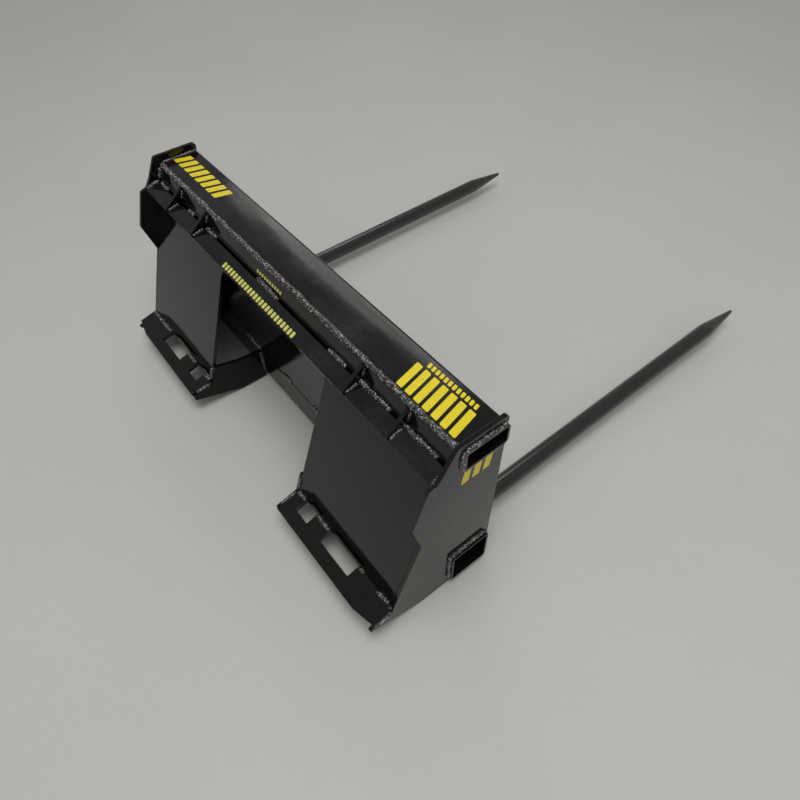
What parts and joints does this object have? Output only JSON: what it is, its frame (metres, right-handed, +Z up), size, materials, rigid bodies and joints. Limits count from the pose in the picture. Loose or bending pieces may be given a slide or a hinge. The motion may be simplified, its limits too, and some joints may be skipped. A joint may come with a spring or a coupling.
{
  "type": "bale spear",
  "caption": "Welded skid-steer quick-attach frame of plate and square tube with long pointed spears that carry round bales.",
  "frame": {"origin": "middle of the hook crease, where the top of the hook bar meets the rear face of the quick-attach plate", "axes": "+X across the frame, +Y forward to the spear tips, +Z up"},
  "size_m": [1.182, 1.4087, 0.5221],
  "materials": {
    "frame_paint": "gloss black paint over welded steel",
    "spear_paint": "gloss black paint over forged steel",
    "fastener_steel": "black paint over steel nut and washer"
  },
  "bodies": {
    "root": {"side_plate_left": "frame_paint", "side_plate_right": "frame_paint", "top_tube": "frame_paint", "lower_tube": "frame_paint", "back_sheet": "frame_paint", "quick_attach_plate": "frame_paint", "hook_bar": "frame_paint", "hook_rib_1": "frame_paint", "hook_rib_2": "frame_paint", "hook_rib_3": "frame_paint", "hook_rib_4": "frame_paint", "lock_ledge_left": "frame_paint", "lock_ledge_right": "frame_paint", "ledge_gusset_left": "frame_paint", "ledge_gusset_right": "frame_paint", "spear_left": "spear_paint", "spear_sleeve_left": "spear_paint", "spear_washer_left": "fastener_steel", "spear_nut_left": "fastener_steel", "spear_right": "spear_paint", "spear_sleeve_right": "spear_paint", "spear_washer_right": "fastener_steel", "spear_nut_right": "fastener_steel"}
  },
  "joints": []
}
